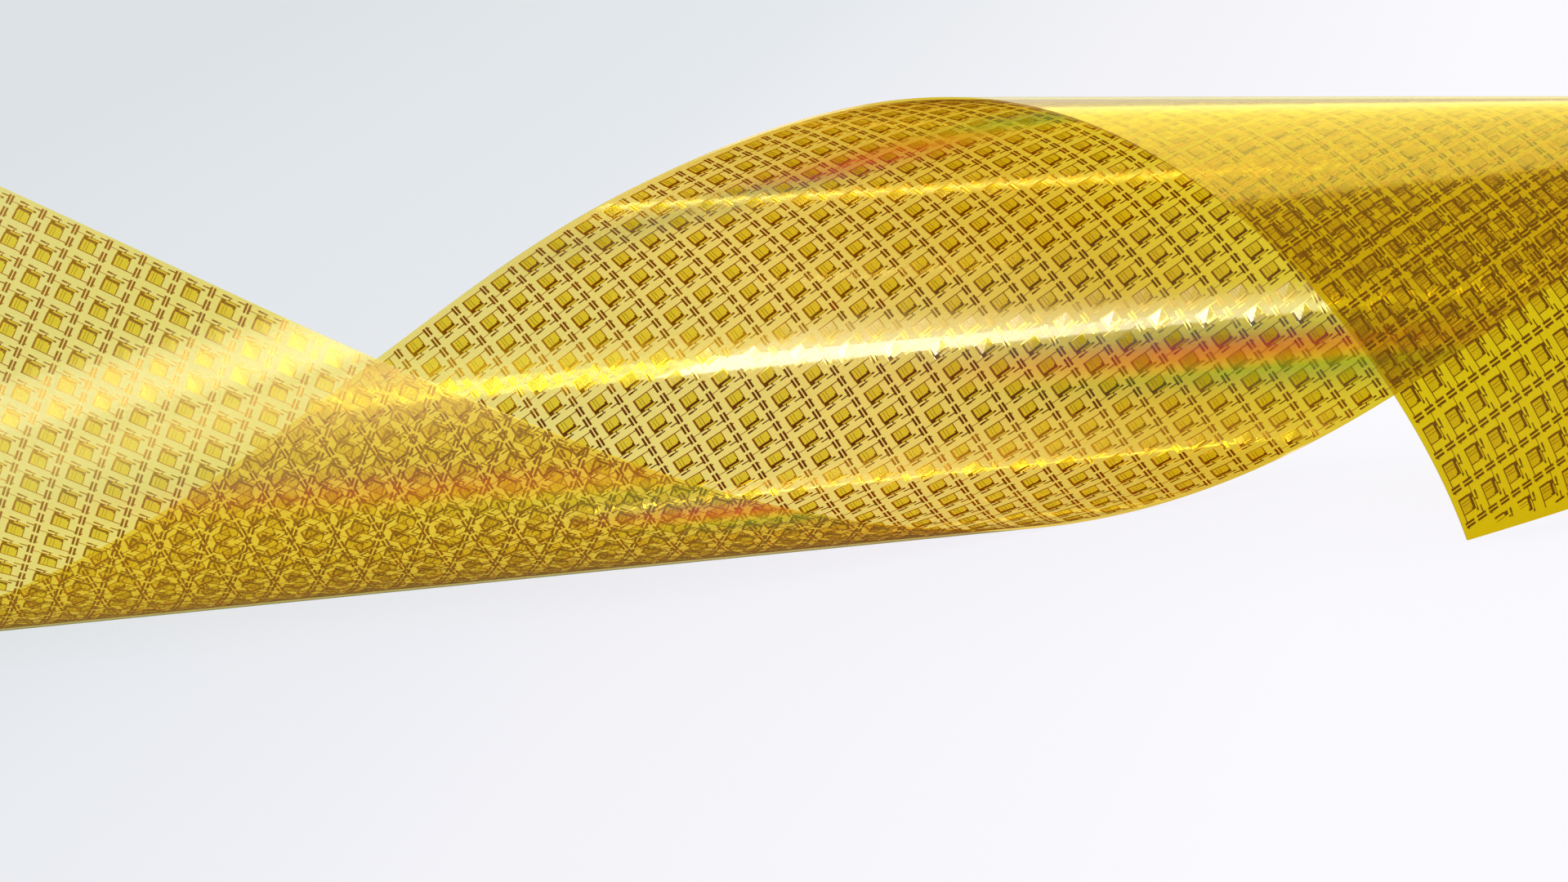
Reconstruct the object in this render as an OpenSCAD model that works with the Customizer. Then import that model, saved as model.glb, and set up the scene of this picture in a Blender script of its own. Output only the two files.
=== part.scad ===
// Flexible semiconductor film: one thin strip of amber film, printed with rows
// and columns of small electronic cells, and curled up into a slanted open roll.
//
// The strip is developable, so it bends without stretching. Each straight line
// that it keeps while bent is a ruling. A bend radius and the ruling's slant to
// a square cut are given at six places along the middle line, and both change
// evenly from one place to the next. The print is on the inner side of the curl.
// Flat places on the strip are x, along it from the foot, and y, across it from
// its middle line. The lowest points of the curl are on z = 0.

/* [Film] */
// Width of the film
film_w = 35; // [25:0.5:40]
// Thickness of the film
film_t = 0.125; // [0.05:0.005:0.3]
// Flat length from the foot to the square end
tail_len = 65; // [50:0.5:72]
// Flat length from the foot to the near corner of the slanted end
head_len = 67; // [50:0.5:72]
// Angle between the slanted end and a square cut
head_slant = 20.5; // [5:0.5:35]

/* [Bend at the tail] */
// Place of the tail bend along the middle line, from the foot
tail_at = -74; // [-80:1:-60]
// Bend radius at the tail
tail_r = 100; // [40:1:200]
// Slant of the rulings at the tail
tail_slant = -42.5; // [-50:0.5:-30]

/* [Bend at the heel] */
// Place of the heel bend along the middle line, from the foot
heel_at = -48; // [-56:1:-40]
// Bend radius at the heel
heel_r = 10.5; // [9:0.1:16]
// Slant of the rulings at the heel
heel_slant = -61; // [-63:0.5:-54]

/* [Bend at the foot] */
// Bend radius at the foot, where the film stands
foot_r = 9.7; // [8:0.1:14]
// Slant of the rulings at the foot
foot_slant = -60; // [-62:0.5:-54]

/* [Bend at the back] */
// Place of the back bend along the middle line, from the foot
back_at = 30; // [24:1:36]
// Bend radius at the back
back_r = 13.4; // [10:0.1:18]
// Slant of the rulings at the back
back_slant = -58; // [-60:0.5:-50]

/* [Bend at the crown] */
// Place of the crown bend along the middle line, from the foot
crown_at = 52; // [46:1:58]
// Bend radius at the crown
crown_r = 12.6; // [10:0.1:18]
// Slant of the rulings at the crown
crown_slant = -32; // [-40:0.5:-20]

/* [Bend at the lip] */
// Place of the lip bend along the middle line, from the foot
lip_at = 74; // [68:1:82]
// Bend radius at the lip
lip_r = 9.3; // [8:0.1:16]
// Slant of the rulings at the lip
lip_slant = 4.5; // [1:0.5:12]

/* [Standing attitude] */
// Turn of the foot about the middle line, from lying flat
stand_roll = 57; // [50:0.1:64]
// Climb of the middle line at the foot
stand_climb = 25.6; // [18:0.1:32]
// Heading of the middle line at the foot
stand_heading = 4; // [-180:1:180]

/* [Print] */
// Pitch of the cells along the film
cell_x = 2.175; // [1.5:0.005:4]
// Pitch of the cells across the film
cell_y = 1.45; // [1:0.01:3]
// Distance of the print off the film's middle line
print_off = 0.1; // [-0.3:0.05:0.3]
// Plain margin between the print and each long edge of the film
side_margin = 0.1; // [0.05:0.05:2]
// Plain margin between the print and each end of the film
end_margin = 0.4; // [0.1:0.1:3]
// Width of a column of cell pads
pad_w = 1; // [0.3:0.05:1.3]
// Width of a column of contact dashes
dash_w = 0.32; // [0.1:0.02:0.6]
// Place of the dashes from a column of pads, as a share of the pitch
dash_place = -0.51; // [-0.55:0.01:-0.45]
// Thickness of the print
print_t = 0.03; // [0.01:0.005:0.1]
// Bond line between the film and the print
bond_t = 0.015; // [0.01:0.001:0.03]

/* [Smoothness] */
// Most turn in one flat facet of the film
film_turn = 3.5; // [2:0.5:4]
// Most length of middle line in one flat facet of the film
film_step = 2; // [1:0.5:4]
// Most turn in one straight piece of print
print_turn = 14; // [8:1:30]

/* [Hidden] */
film_color = [0.95, 0.80, 0.28];
pad_color = [0.62, 0.48, 0.10];
dash_color = [0.36, 0.23, 0.04];

// Width of the film where its end corners are nipped off
nip = 0.4;
half_w = film_w / 2;
// The flat outline is square at the tail and slanted at the head
function head_x(y) = head_len + (half_w - y) * tan(head_slant);
// Step of the working along the middle line, which reaches past the rulings of
// every corner of the film, both ways from the foot
step = 0.5;
steps = ceil((max(tail_len, head_x(-half_w)) + film_w) / step);
reach = steps * step;

// The schedules of ruling slant and of curvature across the ruling
slants = [[tail_at, tail_slant], [heel_at, heel_slant], [0, foot_slant],
          [back_at, back_slant], [crown_at, crown_slant], [lip_at, lip_slant]];
curvatures = [[tail_at, 1 / tail_r], [heel_at, 1 / heel_r], [0, 1 / foot_r],
              [back_at, 1 / back_r], [crown_at, 1 / crown_r], [lip_at, 1 / lip_r]];
function slant(s) = lookup(s, slants);
// Turn of the film about the ruling for each millimetre of middle line
function turn_rate(s) = lookup(s, curvatures) * cos(slant(s)) * 180 / PI;

// v turned by angle a about the unit axis k
function turned(v, k, a) = v * cos(a) + cross(k, v) * sin(a) + k * (k * v) * (1 - cos(a));
function unit(v) = v / norm(v);

// A frame is [place, along, across, inward] at a point of the middle line
function ruling_of(frame, s) = frame[1] * sin(slant(s)) + frame[2] * cos(slant(s));
function turned_frame(frame, k, a) =
    [frame[0], turned(frame[1], k, a), turned(frame[2], k, a), turned(frame[3], k, a)];
function moved_frame(frame, d) = [frame[0] + frame[1] * d, frame[1], frame[2], frame[3]];
// The next frame: half the turn, a straight step, then the other half
function next_frame(frame, s, d) =
    let (k = ruling_of(frame, s + d / 2), a = -turn_rate(s + d / 2) * d / 2,
         half = moved_frame(turned_frame(frame, k, a), d))
    turned_frame(half, k, a);

along_0 = [cos(stand_climb) * cos(stand_heading), cos(stand_climb) * sin(stand_heading), sin(stand_climb)];
level_0 = unit(cross([0, 0, 1], along_0));
across_0 = turned(level_0, along_0, stand_roll);
foot_frame = [[0, 0, 0], along_0, across_0, cross(along_0, across_0)];

ahead = [for (i = 0, f = foot_frame; i <= steps; f = next_frame(f, i * step, step), i = i + 1) f];
behind = [for (i = 0, f = foot_frame; i <= steps; f = next_frame(f, -i * step, -step), i = i + 1) f];
frames = concat([for (i = [steps:-1:1]) behind[i]], ahead);

// Frame at any place s of the middle line, between two worked frames
function frame_at(s) =
    let (q = min(max((s + reach) / step, 0), 2 * steps - 0.001), i = floor(q), w = q - i)
    frames[i] * (1 - w) + frames[i + 1] * w;

// The place on the middle line whose ruling passes through flat point (x, y)
function ruling_place(x, y, lo = -reach, hi = reach, n = 26) =
    let (mid = (lo + hi) / 2)
    n == 0 ? mid
    : mid + y * tan(slant(mid)) > x ? ruling_place(x, y, lo, mid, n - 1)
    : ruling_place(x, y, mid, hi, n - 1);

// Point on the ruling at s, y across from the middle line and h inward
function on_ruling(s, y, h) =
    let (frame = frame_at(s))
    frame[0] + ruling_of(frame, s) * (y / cos(slant(s))) + frame[3] * h;
// Where flat point (x, y) goes on the bent film, h inward from its mid-thickness
function bent(x, y, h) = on_ruling(ruling_place(x, y), y, h);

// Where the ruling at s meets the cut at the tail, and the cut at the head
function cut_y_tail(s) = (-tail_len - s) / tan(slant(s));
function cut_y_head(s) = (head_x(0) - s) / (tan(slant(s)) + tan(head_slant));

// Rulings through the four corners, the two outer ones moved in to the nips
tail_low = ruling_place(-tail_len, -half_w + nip);
tail_high = ruling_place(-tail_len, half_w);
head_high = ruling_place(head_len, half_w);
head_low = ruling_place(head_x(-half_w + nip), -half_w + nip);

function facets(a, b) =
    max(1, ceil(abs(turn_between(a, b)) / film_turn), ceil(abs(b - a) / film_step));
function turn_between(a, b) =
    let (n = 12, d = (b - a) / n)
    abs(d) < 0.001 ? 0
    : d * turn_sum([for (i = [0:n - 1]) turn_rate(a + (i + 0.5) * d)]);
function turn_sum(v) = v * [for (i = v) 1];
function places(a, b) = let (n = facets(a, b)) [for (i = [0:n - 1]) a + (b - a) * i / n];
film_places = concat(places(tail_low, tail_high), places(tail_high, head_high),
                     places(head_high, head_low), [head_low]);

function low_y(s) = -half_w;
function high_y(s) = s < tail_high ? cut_y_tail(s) : s > head_high ? cut_y_head(s) : half_w;

// One ring of four points for each ruling: its two ends, on both faces
film_rings = [for (s = film_places)
    [on_ruling(s, low_y(s), -film_t / 2), on_ruling(s, high_y(s), -film_t / 2),
     on_ruling(s, high_y(s), film_t / 2), on_ruling(s, low_y(s), film_t / 2)]];
film_points = [for (ring = film_rings) each ring];

// The middle of the curl goes over the origin, and its lowest point onto z = 0
function span(i) = [min([for (p = film_points) p[i]]), max([for (p = film_points) p[i]])];
stand = -[(span(0)[0] + span(0)[1]) / 2, (span(1)[0] + span(1)[1]) / 2, span(2)[0]];

// Closed band through rings of four points, with both ends capped. Opposite
// sides are split along the same diagonal, the one nearer to the rulings.
module band(rings) {
    n = len(rings);
    sides = [for (i = [0:n - 2], j = [0:3])
        let (k = (j + 1) % 4, a = 4 * i + j, b = 4 * i + k, c = a + 4, d = b + 4)
        each j < 2 ? [[a, c, b], [b, c, d]] : [[a, d, b], [a, c, d]]];
    first_cap = [[0, 2, 3], [0, 1, 2]];
    last_cap = [[0, 2, 1], [0, 3, 2]] + [for (i = [0:1]) [for (j = [0:2]) 4 * (n - 1)]];
    polyhedron([for (ring = rings) each ring], concat(sides, first_cap, last_cap), convexity = 10);
}

// A printed column: a narrow band across the film, between flat x and x + w
print_in = film_t / 2 + bond_t;
cell_rows = floor((film_w - side_margin) / cell_y);
print_half = cell_rows * cell_y / 2;
print_low = max(print_off - print_half, side_margin - half_w);
print_high = min(print_off + print_half, half_w - side_margin);
function print_ring(x, w, y) =
    [bent(x, y, print_in), bent(x, y, print_in + print_t),
     bent(x + w, y, print_in + print_t), bent(x + w, y, print_in)];
// How far up the column reaches before the slanted end cuts it off
function column_top(x, w) =
    min(print_high, half_w - (x + w + end_margin - head_len) / tan(head_slant));
module column(x, w) {
    high = column_top(x, w);
    turn = turn_between(ruling_place(x, print_low), ruling_place(x, high));
    n = max(1, ceil(abs(turn) / print_turn));
    if (high - print_low > cell_y / 2)
        band([for (i = [0:n]) print_ring(x, w, print_low + (high - print_low) * i / n)]);
}
// Every column of one kind, its middle at share offset of the cell pitch
module columns(offset, w) {
    first = ceil((end_margin - tail_len + w / 2) / cell_x - offset);
    last = floor((head_x(-half_w) - w / 2) / cell_x - offset);
    for (i = [first:last])
        column((i + offset) * cell_x - w / 2, w);
}

module film() {
    color(film_color)
        translate(stand)
        band(film_rings);
}

module cell_pads() {
    color(pad_color)
        translate(stand)
        columns(0, pad_w);
}

module contact_dashes() {
    color(dash_color)
        translate(stand)
        columns(dash_place, dash_w);
}

film();
cell_pads();
contact_dashes();
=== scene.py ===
"""Looks of a flexible semiconductor film: a thin amber strip, printed with rows and
columns of small electronic cells and curled up into a slanted open roll."""
import bpy
import numpy as np
from mathutils import Matrix, Quaternion, Vector


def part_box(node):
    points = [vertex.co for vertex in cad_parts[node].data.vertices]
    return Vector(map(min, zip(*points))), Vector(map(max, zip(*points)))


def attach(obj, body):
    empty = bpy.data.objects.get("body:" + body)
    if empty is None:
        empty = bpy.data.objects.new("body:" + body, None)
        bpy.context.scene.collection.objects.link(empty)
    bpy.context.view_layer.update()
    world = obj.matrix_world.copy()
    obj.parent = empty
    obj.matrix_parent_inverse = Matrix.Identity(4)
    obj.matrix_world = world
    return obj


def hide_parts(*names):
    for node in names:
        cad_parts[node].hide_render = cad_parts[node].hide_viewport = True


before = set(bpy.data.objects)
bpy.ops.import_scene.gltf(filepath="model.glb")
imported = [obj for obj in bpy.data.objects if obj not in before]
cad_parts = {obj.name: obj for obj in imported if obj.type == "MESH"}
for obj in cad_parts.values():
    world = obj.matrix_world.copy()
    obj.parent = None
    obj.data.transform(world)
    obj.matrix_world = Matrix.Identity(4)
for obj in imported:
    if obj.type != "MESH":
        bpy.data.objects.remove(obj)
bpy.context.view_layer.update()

# ---- Film ----
# The film is one thin strip of amber plastic, cut square at the tail and at a
# slant at the head. It is bent without stretching, so every place on it lies on a
# straight ruling, and the cells are printed on the inner side of its curl.
mm = 0.001
film_w = 35 * mm
film_t = 0.125 * mm
tail_len = 65 * mm
head_len = 67 * mm
head_slant = np.radians(20.5)
bend_at = np.array([-74, -48, 0, 30, 52, 74]) * mm
bend_r = np.array([100, 10.5, 9.7, 13.4, 12.6, 9.3]) * mm
bend_slant = np.radians([-42.5, -61, -60, -58, -32, 4.5])
stand_roll, stand_climb, stand_heading = np.radians([57, 25.6, 4])
working_step = 0.5 * mm
working_reach = 100 * mm
halvings = 40


def ruling_slant(s):
    """Angle of the ruling at s to a square cut, even from one bend to the next."""
    return np.interp(s, bend_at, bend_slant)


def about_ruling(s, turn):
    """Turn matrices by turn about the ruling (sin a, cos a, 0) at s, in the film's own
    axes along, across and inward: I + sin(turn) K + (1 - cos(turn)) K K."""
    a = ruling_slant(s)
    zero = np.zeros_like(a)
    k = np.stack([zero, zero, np.cos(a), zero, zero, -np.sin(a), -np.cos(a), np.sin(a), zero], -1)
    k = k.reshape(-1, 3, 3)
    turn = turn[:, None, None]
    return np.eye(3) + np.sin(turn) * k + (1 - np.cos(turn)) * (k @ k)


def turned(axis, angle):
    """Matrix of a plain turn about one of the world's axes."""
    return np.array(Matrix.Rotation(angle, 3, axis))


# The film's axes at each place of the middle line: half a step's turn, a straight
# step along the film, then the other half of the turn.
line_s = np.arange(-working_reach, working_reach + working_step / 2, working_step)
step_s = (line_s[:-1] + line_s[1:]) / 2
step_turn = np.interp(step_s, bend_at, 1 / bend_r) * np.cos(ruling_slant(step_s)) * working_step
half_turns = about_ruling(step_s, -step_turn / 2)
line_axes = [np.eye(3)]
for half_turn in half_turns:
    line_axes.append(line_axes[-1] @ half_turn @ half_turn)
line_axes = np.array(line_axes)
steps_along = (line_axes[:-1] @ half_turns)[:, :, 0] * working_step
line_place = np.vstack([np.zeros(3), np.cumsum(steps_along, axis=0)])
foot = len(line_s) // 2
stand = turned("Z", stand_heading) @ turned("Y", -stand_climb) @ turned("X", stand_roll)
to_stand = stand @ line_axes[foot].T
line_place = (line_place - line_place[foot]) @ to_stand.T
line_axes = to_stand @ line_axes


def on_ruling(s, y, h):
    """The point y across the film on the ruling at s, and h inward from mid-thickness:
    place + ruling y / cos(slant) + inward h, with place and axes even between steps."""
    # Just short of the last step, so that a next step always follows
    step = np.clip((s + working_reach) / working_step, 0, len(line_s) - 1.001)
    i = step.astype(int)
    w = (step - i)[..., None]
    place = line_place[i] * (1 - w) + line_place[i + 1] * w
    axes = line_axes[i] * (1 - w[..., None]) + line_axes[i + 1] * w[..., None]
    a = ruling_slant(s)[..., None]
    ruling = axes[..., 0] * np.sin(a) + axes[..., 1] * np.cos(a)
    return place + ruling * y[..., None] / np.cos(a) + axes[..., 2] * h[..., None]


def ruling_place(x, y):
    """The place s whose ruling passes through flat point (x, y): x = s + y tan(slant),
    found by halving the reach again and again."""
    low = np.full(np.shape(x), -working_reach)
    high = np.full(np.shape(x), working_reach)
    for _ in range(halvings):
        mid = (low + high) / 2
        past = mid + y * np.tan(ruling_slant(mid)) > x
        low, high = np.where(past, low, mid), np.where(past, mid, high)
    return (low + high) / 2


def head_x(y):
    """Where the slanted cut crosses the line at y across the film."""
    return head_len + (film_w / 2 - y) * np.tan(head_slant)


def film_corner(x, y):
    """The ruling's place for one corner of the flat outline."""
    return float(ruling_place(np.array(x), np.array(y)))


# Rulings through the corners of the flat outline, and the rulings that carry the mesh. The
# two low corners are nipped, so that the first and the last ruling have a length
corner_nip = 0.4 * mm
tail_low = film_corner(-tail_len, -film_w / 2 + corner_nip)
tail_high = film_corner(-tail_len, film_w / 2)
head_high = film_corner(head_len, film_w / 2)
head_low = film_corner(head_x(-film_w / 2 + corner_nip), -film_w / 2 + corner_nip)
ruling_gap = 0.25 * mm
strands_across = 24


def evenly(start, stop):
    """Places from start up to, and without, stop, about a ruling gap apart."""
    return np.linspace(start, stop, int((stop - start) / ruling_gap) + 2)[:-1]


film_s = np.concatenate([evenly(tail_low, tail_high), evenly(tail_high, head_high),
                         evenly(head_high, head_low), [head_low]])
tail_cut_y = (-tail_len - film_s) / np.tan(ruling_slant(film_s))
head_cut_y = (head_x(0) - film_s) / (np.tan(ruling_slant(film_s)) + np.tan(head_slant))
upper_y = np.where(film_s < tail_high, tail_cut_y, np.where(film_s > head_high, head_cut_y, film_w / 2))
share = np.linspace(0, 1, strands_across + 1)
film_y = -film_w / 2 + (upper_y[:, None] + film_w / 2) * share
film_s = film_s[:, None] + 0 * film_y
film_x = film_s + film_y * np.tan(ruling_slant(film_s))
face_heights = np.array([-film_t / 2, film_t / 2])[:, None, None] + 0 * film_s
both_faces = np.stack([on_ruling(film_s, film_y, h) for h in face_heights])

# The curl's own box is laid on the frame's box of the film, with its lowest point level
film_low, film_high = (np.array(corner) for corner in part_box("film"))
curl_low, curl_high = both_faces.min((0, 1, 2)), both_faces.max((0, 1, 2))
stand_at = (film_low + film_high - curl_low - curl_high) / 2
stand_at[2] = film_low[2] - curl_low[2]


def bump(v):
    """Smooth hump: one at v = 0, falling away as exp(-v squared)."""
    return np.exp(-v * v)


# Hues of the painted interference sheen, in the order in which they cross a band of it
painted_iridescence_places = np.array([0, 0.18, 0.36, 0.52, 0.68, 0.84, 1])
painted_iridescence_hues = np.array([(0.20, 0.45, 0.42), (0.50, 0.13, 0.28), (0.85, 0.06, 0.10), (0.95, 0.22, 0.03),
                       (0.95, 0.62, 0.03), (0.15, 0.62, 0.04), (0.08, 0.45, 0.20)])
# Each band, in mm of the flat film: the places s of its first and its last hue, its middle
# y, how far its middle moves in s for each mm of y, its half widths in s and y, its share
painted_iridescence_bands = [
    (6.8, 0.8, -11.0, 0.35, 3.0, 7.0, 0.95),
    (28.0, 36.5, 11.0, -1.9, 3.2, 4.2, 0.80),
    (-50.5, -42.0, -13.0, -0.35, 2.8, 7.5, 0.28),
    (-41.5, -36.5, -16.2, 0.0, 2.6, 2.4, 0.55),
]
least_share = 1e-6


def sheen(s, y):
    """Colour and share of the painted interference sheen at flat place (s, y): fixed colour laid
    on the film by place, in place of the colour bands that light makes near the highlights.
    Along each band the hue runs with s, and the share is a hump about a line that slopes across the
    film."""
    s, y = s / mm, y / mm
    colour = np.zeros(s.shape + (3,))
    total = np.zeros(s.shape)
    for first, last, at_y, slope, half_s, half_y, strength in painted_iridescence_bands:
        hue = np.clip((s - first) / (last - first), 0, 1)
        centre = (first + last) / 2 + slope * (y - at_y)
        share = strength * bump((s - centre) / half_s) * bump((y - at_y) / half_y)
        rgb = np.stack([np.interp(hue, painted_iridescence_places, painted_iridescence_hues[:, c]) for c in range(3)], -1)
        colour += rgb * share[..., None]
        total += share
    colour /= np.maximum(total, least_share)[..., None]
    return np.concatenate([colour, np.minimum(total, 1)[..., None]], -1)


sharp_edge = np.radians(40)


def make_piece(name, points, faces, flat_x, flat_y, smooth):
    """A mesh object with its place in its mesh, the flat places as its UV map in film
    widths, and the painted interference sheen as a colour attribute on its points. A smooth
    piece keeps its edges sharp from a turn of sharp_edge."""
    mesh = bpy.data.meshes.new(name)
    mesh.from_pydata(points.reshape(-1, 3) + stand_at, [], faces.reshape(-1, 4))
    mesh.polygons.foreach_set("use_smooth", np.full(len(mesh.polygons), smooth))
    if smooth:
        mesh.set_sharp_from_angle(angle=sharp_edge)
    flat = np.stack([flat_x.ravel(), flat_y.ravel()], -1) / film_w
    corner_points = np.empty(len(mesh.loops), np.int32)
    mesh.loops.foreach_get("vertex_index", corner_points)
    mesh.uv_layers.new(name="flat").uv.foreach_set("vector", flat[corner_points].ravel())
    # Painted sheen: fixed interference colours by place on the film
    colours = sheen(ruling_place(flat_x, flat_y), flat_y)
    mesh.attributes.new("sheen", "FLOAT_COLOR", "POINT").data.foreach_set("color", colours.ravel())
    mesh.update()
    piece = bpy.data.objects.new(name, mesh)
    bpy.context.scene.collection.objects.link(piece)
    return piece


def grid_faces(rows, columns):
    """Quads of a closed sheet of two faces, of rows by columns points each: the inner
    face first, then the outer face, then the four strips that join their edges."""
    index = np.arange(2 * rows * columns).reshape(2, rows, columns)
    outer, inner = index
    quads = [np.stack([inner[:-1, :-1], inner[1:, :-1], inner[1:, 1:], inner[:-1, 1:]], -1),
             np.stack([outer[:-1, 1:], outer[1:, 1:], outer[1:, :-1], outer[:-1, :-1]], -1)]
    edges = (index[:, :, 0], index[:, ::-1, -1], index[:, 0, ::-1], index[:, -1, :])
    for edge in edges:
        quads.append(np.stack([edge[0, :-1], edge[0, 1:], edge[1, 1:], edge[1, :-1]], -1))
    return np.concatenate([q.reshape(-1, 4) for q in quads])


def adder(tree):
    """A short way to add nodes to a tree: their kind, what is set up first, and their
    sockets, by name or as i0, i1 and so on where several have the same name."""
    def add(kind, set_up=None, **sockets):
        """A node of this kind, whose sockets take either a link or a value."""
        node = tree.nodes.new("ShaderNode" + kind)
        for key, value in (set_up or {}).items():
            setattr(node, key, value)
        for key, value in sockets.items():
            by_number = key[0] == "i" and key[1:].isdigit()
            socket = node.inputs[int(key[1:]) if by_number else key]
            if isinstance(value, bpy.types.NodeSocket):
                tree.links.new(value, socket)
            else:
                socket.default_value = value
        return node

    return add


def material(name):
    """A new material with an empty node tree, and the short way to add nodes to it."""
    made = bpy.data.materials.new(name)
    made.use_nodes = True
    made.node_tree.nodes.clear()
    return made, adder(made.node_tree)


def rgba(r, g, b):
    """An opaque colour for a socket."""
    return (r, g, b, 1)


def ramp_of(add, value, stops):
    """A colour ramp over value, from stops of (value, colour), even in between. It has
    256 steps, so a narrow stripe has a ramp of its own."""
    first, last = stops[0][0], stops[-1][0]
    fac = add("MapRange", Value=value, **{"From Min": first, "From Max": last})
    ramp = add("ValToRGB", Fac=fac.outputs[0])
    elements = ramp.color_ramp.elements
    while len(elements) < len(stops):
        elements.new(0.5)
    for element, (at, colour) in zip(elements, stops):
        element.position = (at - first) / (last - first)
        element.color = rgba(*colour)
    return ramp.outputs[0]


# What the whole film lets through, by the place along it in mm: paler at the tail, deeper
# yellow and darker toward the head. It is the film's own amber, with painted shade in the darker
# stretches
film_clear_and_shade = ((-65, (1.00, 1.00, 0.40)), (-48, (1.00, 0.95, 0.29)), (-35, (1.00, 0.92, 0.22)),
              (-12, (1.00, 0.92, 0.28)), (3, (1.00, 0.80, 0.19)), (18, (0.80, 0.59, 0.05)),
              (29, (0.80, 0.70, 0.03)), (35, (0.86, 0.78, 0.02)), (44, (0.82, 0.70, 0.004)),
              (70, (0.70, 0.54, 0.002)))
film_body = rgba(0.98, 0.58, 0.008)
film_body_share = 0.11
film_cloud = 0.08
painted_iridescence_on_film = 0.44
sharp_tint = rgba(1, 0.97, 0.88)
soft_tint = rgba(1, 0.93, 0.72)


def times(add, a, b):
    """The product of two values."""
    return add("Math", {"operation": "MULTIPLY"}, i0=a, i1=b).outputs[0]


def outside_gloss(add, core, gloss, gloss_ior):
    """The core under a gloss by Fresnel, on the side of the face that points outwards."""
    outside = add("Math", {"operation": "SUBTRACT"}, i0=1.0, i1=add("NewGeometry").outputs["Backfacing"])
    share = times(add, add("Fresnel", IOR=gloss_ior).outputs[0], outside.outputs[0])
    finish = add("MixShader", i0=share, i1=core.outputs[0], i2=gloss.outputs[0])
    add("OutputMaterial", Surface=finish.outputs[0])


def film_finish(name, gloss_ior, sharp, soft, soft_share):
    """One face of the film: clear amber that scatters a little light both ways and takes
    the painted interference sheen as a diffuse colour. Its gloss has a sharp and a soft part of these
    roughnesses."""
    made, add = material(name)
    painted_iridescence_at = add("Attribute", {"attribute_name": "sheen"})
    place = add("UVMap", {"uv_map": "flat"}).outputs["UV"]
    along = add("SeparateXYZ", Vector=place).outputs["X"]
    # What the film lets through along it, with its painted shade toward the head
    through_both_and_shade = ramp_of(add, along, [(x * mm / film_w, clear) for x, clear in film_clear_and_shade])
    clear = add("BsdfTransparent", Color=add("Gamma", Color=through_both_and_shade, Gamma=0.5).outputs[0])
    cloud = add("TexNoise", Vector=place, Scale=2.2, Detail=2).outputs["Fac"]
    tone = add("MapRange", Value=cloud, **{"From Min": 0.3, "From Max": 0.7,
                                           "To Min": 1 - film_cloud, "To Max": 1 + film_cloud})
    body_colour = add("HueSaturation", Color=film_body, Value=tone.outputs[0])
    front = add("BsdfDiffuse", Color=body_colour.outputs[0])
    through = add("BsdfTranslucent", Color=body_colour.outputs[0])
    body = add("MixShader", i0=0.5, i1=front.outputs[0], i2=through.outputs[0])
    core = add("MixShader", i0=film_body_share, i1=clear.outputs[0], i2=body.outputs[0])
    # Painted sheen: a diffuse coat in the fixed interference colours, laid over the body by place
    painted_iridescence_share = times(add, painted_iridescence_at.outputs["Alpha"], painted_iridescence_on_film)
    painted_iridescence_coat = add("BsdfDiffuse", Color=painted_iridescence_at.outputs["Color"])
    tinted = add("MixShader", i0=painted_iridescence_share, i1=core.outputs[0], i2=painted_iridescence_coat.outputs[0])
    sharp_gloss = add("BsdfGlossy", Color=sharp_tint, Roughness=sharp)
    soft_gloss = add("BsdfGlossy", Color=soft_tint, Roughness=soft)
    gloss = add("MixShader", i0=soft_share, i1=sharp_gloss.outputs[0], i2=soft_gloss.outputs[0])
    outside_gloss(add, tinted, gloss, gloss_ior)
    return made


film_faces = grid_faces(*film_s.shape)
film = make_piece("film_strip", both_faces, film_faces, np.stack([film_x, film_x]),
                  np.stack([film_y, film_y]), smooth=True)
film_outer = film_finish("film_outer", gloss_ior=1.7, sharp=0.12, soft=0.32, soft_share=0.35)
film_inner = film_finish("film_inner", gloss_ior=1.75, sharp=0.055, soft=0.26, soft_share=0.3)
film.data.materials.append(film_outer)
film.data.materials.append(film_inner)
on_inner_face = np.arange(len(film_faces)) < (film_s.shape[0] - 1) * strands_across
film.data.polygons.foreach_set("material_index", on_inner_face.astype(np.int32))
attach(film, "root")
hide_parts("film")

# ---- Contact dashes ----
# Two columns of short metal dashes run across the film between each two columns of
# cells. They are evaporated metal, a thin dark skin on the film's inner face.
cell_x = 2.175 * mm
cell_y = 1.45 * mm
cell_rows = 24
print_off = 0.1 * mm
cut_margin = 0.35 * mm
mark_lift = 0.004 * mm
mark_t = 0.014 * mm
# How far a cell's marks reach from its middle, in cell pitches
marks_to_head = 0.4
marks_to_tail = 0.6
column_first = int(np.ceil((cut_margin - tail_len) / cell_x - marks_to_head))
column_last = int(np.floor(head_x(-film_w / 2) / cell_x + marks_to_tail))
cell_u = np.arange(column_first, column_last + 1) * cell_x
cell_v = (np.arange(cell_rows) - (cell_rows - 1) / 2) * cell_y + print_off
cells = np.stack(np.meshgrid(cell_u, cell_v, indexing="ij"), -1).reshape(-1, 1, 2)


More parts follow.
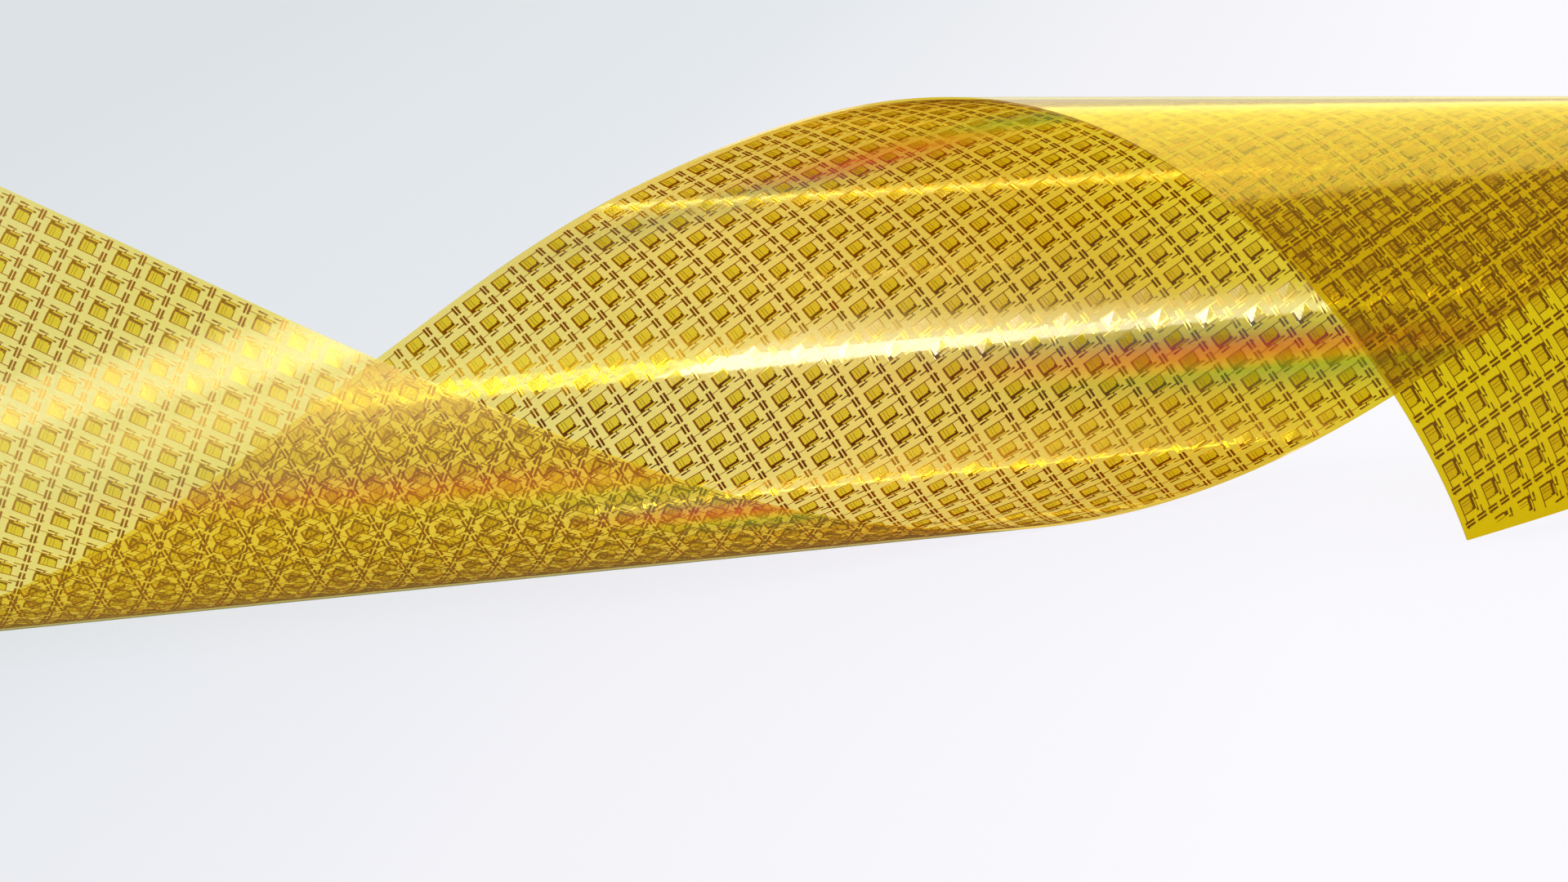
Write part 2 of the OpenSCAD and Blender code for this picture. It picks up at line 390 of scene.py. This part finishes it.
def print_marks(name, marks, lift=mark_lift, thick=mark_t):
    """Closed thin plates at lift over the inner face, one for each cell and mark. A mark is
    (left, right, low, high) in cell pitches from the middle of the cell, and the plates
    that would cross the film's cut edges are left out."""
    sides = np.array(marks).T[:, None, :]
    left, right = ((cells[..., 0] + side * cell_x).ravel() for side in sides[:2])
    low, high = ((cells[..., 1] + side * cell_y).ravel() for side in sides[2:])
    kept = (left > cut_margin - tail_len) & (right < head_x(high) - cut_margin) & (high < film_w / 2)
    kept &= low > -film_w / 2
    left, right, low, high = left[kept], right[kept], low[kept], high[kept]
    x = np.stack([left, right, right, left] * 2, -1)
    y = np.stack([low, low, high, high] * 2, -1)
    h = film_t / 2 + lift + np.repeat([0, thick], 4) + 0 * x
    points = on_ruling(ruling_place(x, y), y, h)
    plate = np.array([[0, 3, 2, 1], [4, 5, 6, 7], [0, 1, 5, 4],
                      [1, 2, 6, 5], [2, 3, 7, 6], [3, 0, 4, 7]])
    faces = plate + 8 * np.arange(len(x))[:, None, None]
    return make_piece(name, points, faces, x, y, smooth=False)


metal_ior = 3.6
metal_level = 0.7
metal_rough = 0.09
metal_gloss = rgba(1, 0.74, 0.16)
metal_grain = 0.25


def metal(name, colour):
    """Evaporated metal, dark brown with a golden gloss. Its base colour takes the painted interference
    sheen.
    """
    made, add = material(name)
    painted_iridescence_at = add("Attribute", {"attribute_name": "sheen"})
    place = add("UVMap", {"uv_map": "flat"}).outputs["UV"]
    grain = add("TexNoise", Vector=place, Scale=900.0, Detail=1)
    tone = add("MapRange", Value=grain.outputs["Fac"], **{"To Min": 1 - metal_grain,
                                                          "To Max": 1 + metal_grain})
    base = add("HueSaturation", Color=colour, Value=tone.outputs[0])
    mixed = add("Mix", {"data_type": "RGBA"}, i0=painted_iridescence_at.outputs["Alpha"],
                i6=base.outputs[0], i7=painted_iridescence_at.outputs["Color"])
    shader = add("BsdfPrincipled", **{"Base Color": mixed.outputs[2], "Roughness": metal_rough,
                                      "IOR": metal_ior, "Specular IOR Level": metal_level,
                                      "Specular Tint": metal_gloss})
    add("OutputMaterial", Surface=shader.outputs[0])
    return made


dash_w = 0.062
dash_columns = (-0.5625, -0.464)
dash_rows = ((-0.55, -0.17), (-0.045, 0.33))
dash_marks = [(c - dash_w / 2, c + dash_w / 2, *rows) for c in dash_columns for rows in dash_rows]
dashes = print_marks("dash_marks", dash_marks)
dashes.data.materials.append(metal("dash_metal", rgba(0.22, 0.034, 0.0006)))
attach(dashes, "root")
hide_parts("contact_dashes")

# ---- Cell pads ----
# Each cell has one flat field of thin olive-gold semiconductor, which lets most light
# through. It is laid down through a mask, straight on the film's inner face.
pad_t = 0.008 * mm
pad_field = (-0.243, 0.215, -0.32, 0.26)
pad_clear = rgba(0.985, 0.95, 0.40)
pad_body = rgba(0.80, 0.52, 0.03)
pad_body_share = 0.04
pads = print_marks("pad_fields", [pad_field], thick=pad_t)
pad_finish, add = material("pad_semiconductor")
painted_iridescence_at = add("Attribute", {"attribute_name": "sheen"})
clear = add("BsdfTransparent", Color=pad_clear)
# The pad's body colour takes the painted interference sheen by place
body_colour = add("Mix", {"data_type": "RGBA"}, i0=painted_iridescence_at.outputs["Alpha"],
                  i6=pad_body, i7=painted_iridescence_at.outputs["Color"])
body = add("BsdfDiffuse", Color=body_colour.outputs[2])
core = add("MixShader", i0=pad_body_share, i1=clear.outputs[0], i2=body.outputs[0])
outside_gloss(add, core, add("BsdfGlossy", Roughness=0.12), gloss_ior=2.1)
pads.data.materials.append(pad_finish)
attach(pads, "root")
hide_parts("cell_pads")

# ---- Gate bars ----
# Over the low edge of each pad lies a dark metal gate, and its leads run below the pad
# to the dashes. They are a second evaporated metal, laid down after the pads.
over_pad_lift = mark_lift + 0.010 * mm
gate_marks = [
    (-0.225, -0.10, -0.32, -0.17),
    (-0.10, 0.205, -0.265, -0.165),
    (0.14, 0.205, -0.165, -0.11),
    (0.215, 0.30, -0.345, -0.28),
    (-0.236, -0.09, -0.49, -0.42),
    (-0.09, 0.035, -0.475, -0.43),
    (0.2, 0.41, -0.48, -0.435),
    (-0.04, 0.0, -0.41, -0.32),
]
gates = print_marks("gate_bars", gate_marks, lift=over_pad_lift)
gates.data.materials.append(metal("gate_metal", rgba(0.18, 0.028, 0.0006)))
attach(gates, "root")

# ---- Fine traces ----
# Thin metal lines frame each pad and join it to the dashes on both sides of it. They
# are evaporated with the gates, and most are between 0.02 and 0.06 mm wide.
trace_marks = [
    (-0.44, 0.215, -0.345, -0.32),
    (-0.243, 0.41, 0.225, 0.262),
    (0.19, 0.215, -0.11, 0.225),
    (-0.243, -0.185, -0.17, 0.225),
    (-0.44, -0.395, 0.215, 0.262),
    (-0.10, -0.088, -0.15, 0.2),
    (-0.02, -0.008, -0.15, 0.2),
]
traces = print_marks("fine_traces", trace_marks, lift=over_pad_lift)
traces.data.materials.append(metal("trace_metal", rgba(0.38, 0.110, 0.002)))
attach(traces, "root")

# ---- Floor and light ----
# A wide pale floor with painted shade that makes it cooler and greyer to the far left,
# under an even pale sky and soft boxes at the left, overhead and behind. Gloss alone sees the sky as
# dark, with a low strip of light in front at the left and the floor aglow before it.
floor_half = 4.0
floor_top = -0.02 * mm
floor_sides = ((-1, -1), (1, -1), (1, 1), (-1, 1))
floor_corners = [(x * floor_half, y * floor_half, floor_top) for x, y in floor_sides]
floor_mesh = bpy.data.meshes.new("floor")
floor_mesh.from_pydata(floor_corners, [], [(0, 1, 2, 3)])
floor = bpy.data.objects.new("floor", floor_mesh)
bpy.context.scene.collection.objects.link(floor)
floor_finish, add = material("pale_floor")


def floor_way(add, x, y):
    """Place along the floor in the direction (x, y), as a dot product."""
    place = add("TexCoord").outputs["Object"]
    return add("VectorMath", {"operation": "DOT_PRODUCT"}, i0=place, i1=(x, y, 0)).outputs["Value"]


def plus(add, a, b):
    """The sum of two values."""
    return add("Math", {"operation": "ADD"}, i0=a, i1=b).outputs[0]


def levels(add, value, stops):
    """A grey ramp over value, from stops of (value, level)."""
    return ramp_of(add, value, [(at, (level, level, level)) for at, level in stops])


# Painted shade on the floor's seen colour: cooler and greyer to the far left
floor_tones_and_shade = ((-0.12, (0.693, 0.728, 0.772)), (-0.045, (0.752, 0.786, 0.830)),
               (0.0, (0.888, 0.882, 0.938)), (0.03, (0.946, 0.937, 0.990)))
shaded_floor_colour = ramp_of(add, floor_way(add, 1, -0.15), floor_tones_and_shade)
floor_seen_share = 0.94
floor_lit = add("BsdfDiffuse", Color=rgba(0.86, 0.86, 0.87))
# What gloss sees of the floor: it glows in front, with one thin bright line under the curl
glow_stops = ((-0.80, 6.5), (-0.20, 4.2), (-0.10, 2.9), (-0.05, 1.9), (-0.03, 0.6), (-0.018, 0.1),
              (0.03, 0.02), (0.12, 0.05), (0.16, 0.9))
glow = levels(add, floor_way(add, 0.40, 0.917), glow_stops)
glow_ends = levels(add, floor_way(add, 1, -0.364), ((-0.056, 0.35), (-0.044, 1), (0.024, 1), (0.032, 0)))
thin_line = levels(add, floor_way(add, 0.26, 0.965), ((0.0110, 0), (0.0117, 18), (0.0124, 0)))
line_ends = levels(add, floor_way(add, 1, 0), ((-0.018, 0), (-0.012, 1), (0.024, 1), (0.030, 0)))
glow = plus(add, times(add, glow, glow_ends), times(add, thin_line, line_ends))
path = add("LightPath")
glow = add("Mix", i0=path.outputs["Is Glossy Ray"], i2=1.0, i3=glow)
floor_seen = add("Emission", Color=shaded_floor_colour, Strength=glow.outputs[0])
sight = plus(add, path.outputs["Is Camera Ray"], path.outputs["Is Glossy Ray"])
sight = add("Math", {"operation": "ADD", "use_clamp": True}, i0=sight,
            i1=path.outputs["Is Transmission Ray"])
seen_share = times(add, sight.outputs[0], floor_seen_share)
floor_mix = add("MixShader", i0=seen_share, i1=floor_lit.outputs[0], i2=floor_seen.outputs[0])
add("OutputMaterial", Surface=floor_mix.outputs[0])
floor_mesh.materials.append(floor_finish)

world = bpy.data.worlds.new("studio")
world.use_nodes = True
bpy.context.scene.world = world
world.node_tree.nodes.clear()
add = adder(world.node_tree)
sky_strength = 0.85
strip_slope = 0.70
sky_way = add("SeparateXYZ", Vector=add("TexCoord").outputs["Generated"])
sky_x, sky_y, sky_z = (sky_way.outputs[axis] for axis in "XYZ")
# What gloss sees of the sky: dark, a little paler at the left and bright low behind, with
# the strip of light in front at the left, whose upper edge falls to the right
sky_side = add("MapRange", Value=sky_x, **{"From Min": -0.7, "From Max": -0.1,
                                           "To Min": 0.12, "To Max": 0.0})
strip_stops = ((-0.75, 0), (-0.60, 2.0), (-0.505, 2.6), (-0.475, 9.0), (-0.43, 12.0), (-0.39, 9.5),
               (-0.355, 5.0), (-0.32, 1.5), (-0.25, 0))
strip = levels(add, sky_x, strip_stops)
strip_climb = add("Math", {"operation": "MULTIPLY_ADD"}, i0=sky_x, i1=strip_slope, i2=sky_z)
strip_edge = levels(add, strip_climb.outputs[0], ((-0.160, 1), (-0.150, 0)))
strip_front = levels(add, sky_y, ((-0.5, 1), (-0.4, 0)))
strip = times(add, times(add, strip, strip_edge), strip_front)
back_way = levels(add, sky_y, ((0.80, 0), (0.95, 0.9)))
back_climb = levels(add, sky_z, ((0.35, 1), (0.50, 0)))
sky_back = times(add, back_way, back_climb)
gloss_sky = plus(add, plus(add, sky_side.outputs[0], strip), sky_back)
sky = add("Mix", i0=add("LightPath").outputs["Is Glossy Ray"], i2=sky_strength, i3=gloss_sky)
backdrop = add("Background", Color=rgba(0.95, 0.97, 1.0), Strength=sky.outputs[0])
add("OutputWorld", Surface=backdrop.outputs[0])

light_aim = Vector((8 * mm, 12 * mm, 10 * mm))


def soft_box(name, heading, climb, distance, width, height, radiance, colour=(1, 1, 1), tilt=0):
    """A rectangular lamp that faces the part from a heading right of the front and a
    climb over the floor, both in degrees. Its power is radiance times pi times its area.
    Its tilt, in degrees, lowers its right end as someone behind the lamp sees it."""
    heading, climb = np.radians([heading, climb])
    out = Vector((np.sin(heading) * np.cos(climb), -np.cos(heading) * np.cos(climb), np.sin(climb)))
    lamp = bpy.data.lights.new(name, "AREA")
    lamp.shape = "RECTANGLE"
    lamp.size, lamp.size_y = width, height
    lamp.energy = radiance * np.pi * width * height
    lamp.color = colour
    holder = bpy.data.objects.new(name, lamp)
    holder.location = light_aim + out * distance
    tilted = Quaternion((0, 0, 1), -np.radians(tilt))
    holder.rotation_euler = (out.to_track_quat("Z", "Y") @ tilted).to_euler()
    bpy.context.scene.collection.objects.link(holder)


soft_box("strip_over", heading=-115, climb=78.5, distance=0.25, width=0.006, height=0.06, radiance=30.0)
soft_box("box_left", heading=-85, climb=38, distance=0.9, width=0.6, height=0.6, radiance=4.4,
         colour=(1, 0.97, 0.93))
soft_box("box_back_top", heading=153, climb=46, distance=0.9, width=1.05, height=0.40, radiance=2.7,
         colour=(1, 0.98, 0.24), tilt=53)

# ---- Camera ----
# It stands in front, a little above the part, with a long lens and a slight roll.
camera_at = Vector((8.504 * mm, -334.254 * mm, 60.140 * mm))
camera_right = Vector((0.9906, 0.0016, -0.1370))
camera_back = Vector((0.0234, -0.9872, 0.1579))
camera_up = camera_back.cross(camera_right).normalized()
camera_right = camera_up.cross(camera_back).normalized()
lens = bpy.data.cameras.new("camera")
lens.sensor_width = 36
lens.lens = 147.26
lens.clip_start = 0.01
camera = bpy.data.objects.new("camera", lens)
camera.matrix_world = Matrix((camera_right, camera_up, camera_back.normalized())).transposed().to_4x4()
camera.location = camera_at
bpy.context.scene.collection.objects.link(camera)
bpy.context.scene.camera = camera
bpy.context.scene.view_settings.view_transform = "Standard"
